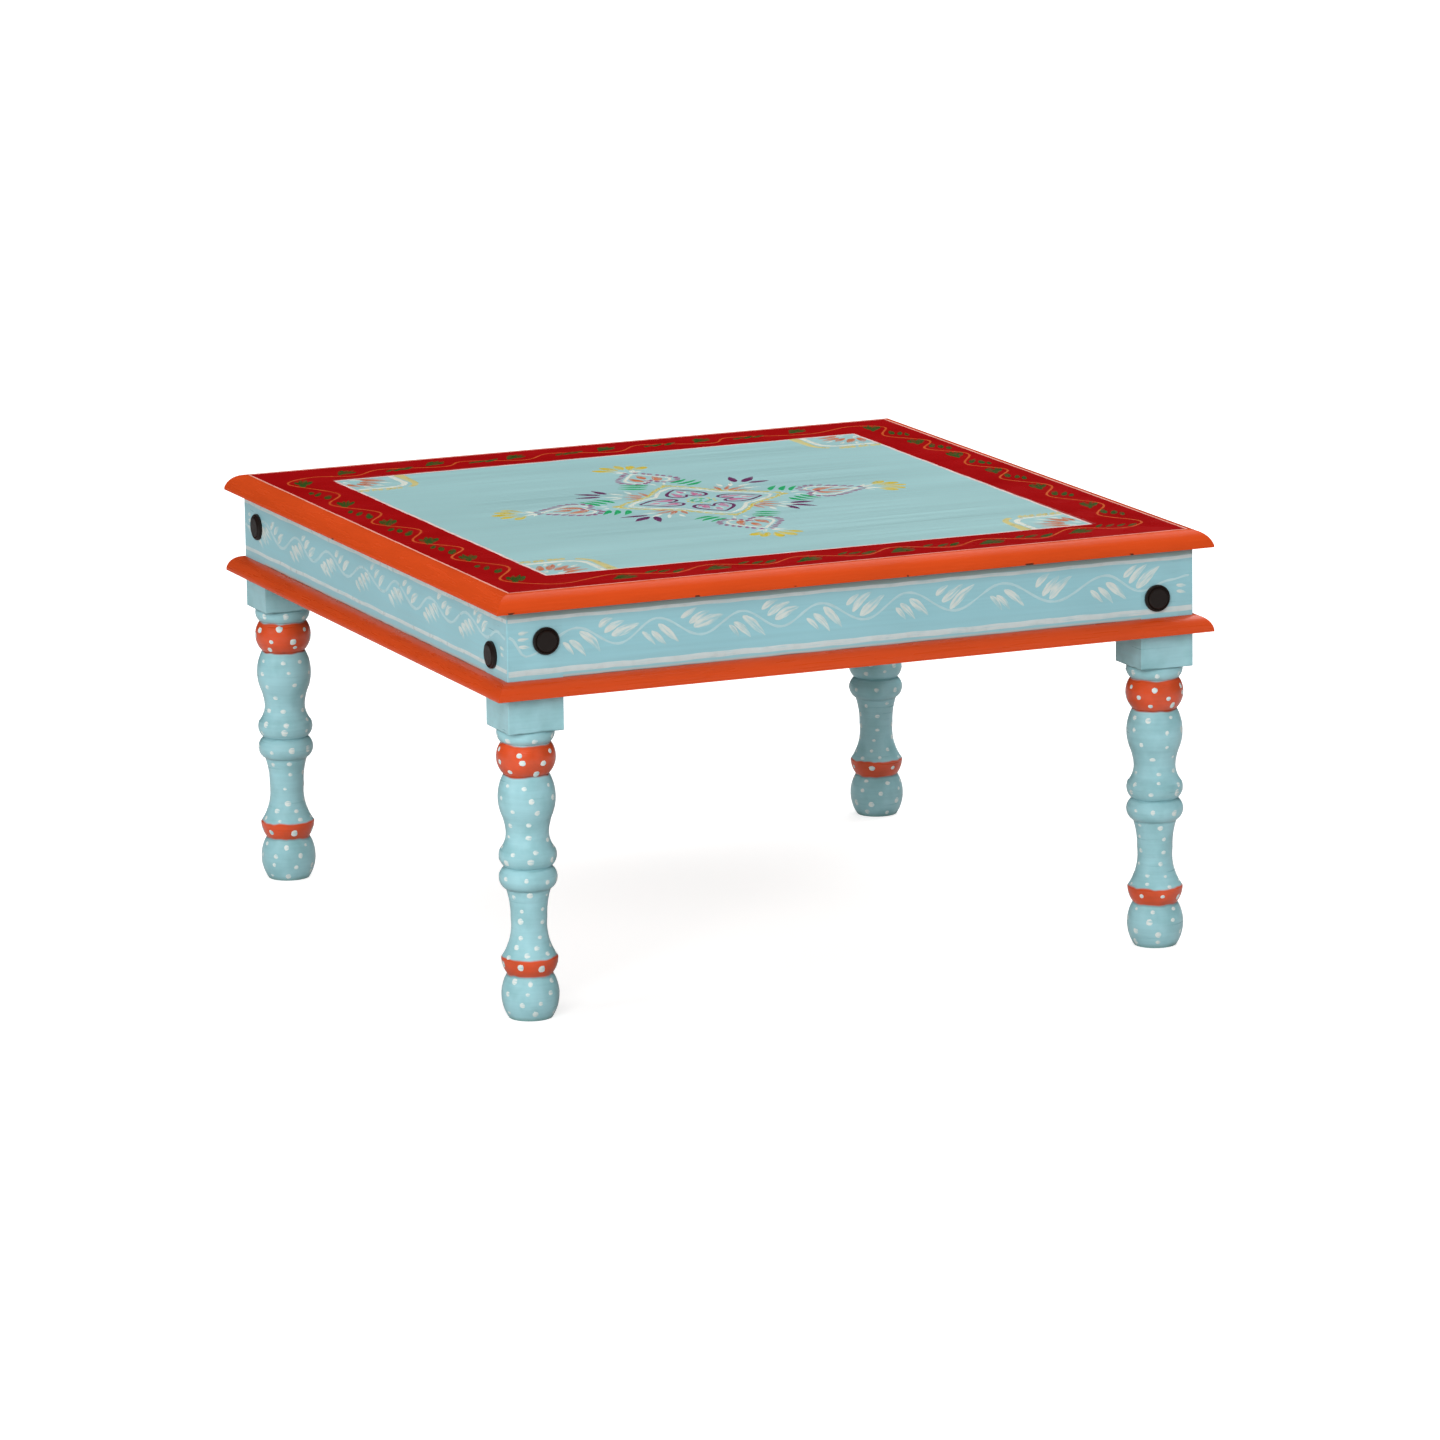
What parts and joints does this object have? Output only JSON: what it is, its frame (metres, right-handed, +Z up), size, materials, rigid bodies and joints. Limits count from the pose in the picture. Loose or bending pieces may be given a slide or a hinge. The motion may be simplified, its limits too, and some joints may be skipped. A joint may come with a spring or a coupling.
{
  "type": "coffee table",
  "caption": "Square low table on turned legs: moulded, mitred top with a board panel, aprons pinned by iron studs, hand-painted with vines, flowers and dots.",
  "frame": {"origin": "on the floor at the centre of the table", "axes": "+Z up; the front of the table faces -Y, its right side +X"},
  "size_m": [0.72, 0.72, 0.4],
  "materials": {
    "leg_paint": "satin brushed enamel, light blue with orange bands and white dots",
    "apron_paint": "satin brushed enamel, light blue",
    "moulding_paint": "glossy enamel, orange",
    "border_paint": "satin enamel, deep red with a glossy orange edge",
    "panel_paint": "satin brushed enamel, aqua blue",
    "bare_wood": "sawn and planed, unpainted",
    "black_iron": "black, forged, slightly worn",
    "screw_steel": "plain bright steel"
  },
  "bodies": {
    "root": {"leg_front_left": "leg_paint", "leg_front_right": "leg_paint", "leg_back_right": "leg_paint", "leg_back_left": "leg_paint", "rail_front": "apron_paint", "rail_right": "apron_paint", "rail_back": "apron_paint", "rail_left": "apron_paint", "lower_moulding_front": "moulding_paint", "lower_moulding_right": "moulding_paint", "lower_moulding_back": "moulding_paint", "lower_moulding_left": "moulding_paint", "top_frame_front": "border_paint", "top_frame_right": "border_paint", "top_frame_back": "border_paint", "top_frame_left": "border_paint", "top_board_1": "panel_paint", "top_board_2": "panel_paint", "top_board_3": "panel_paint", "top_board_4": "panel_paint", "top_board_5": "panel_paint", "top_cleat_front": "bare_wood", "top_cleat_right": "bare_wood", "top_cleat_back": "bare_wood", "top_cleat_left": "bare_wood", "top_batten_left": "bare_wood", "top_batten_right": "bare_wood", "mitre_spline_front_left": "bare_wood", "mitre_spline_front_right": "bare_wood", "mitre_spline_back_right": "bare_wood", "mitre_spline_back_left": "bare_wood", "iron_studs": "black_iron", "cleat_top_screws": "screw_steel", "cleat_rail_screws": "screw_steel", "batten_screws": "screw_steel", "moulding_pins": "screw_steel"}
  },
  "joints": []
}
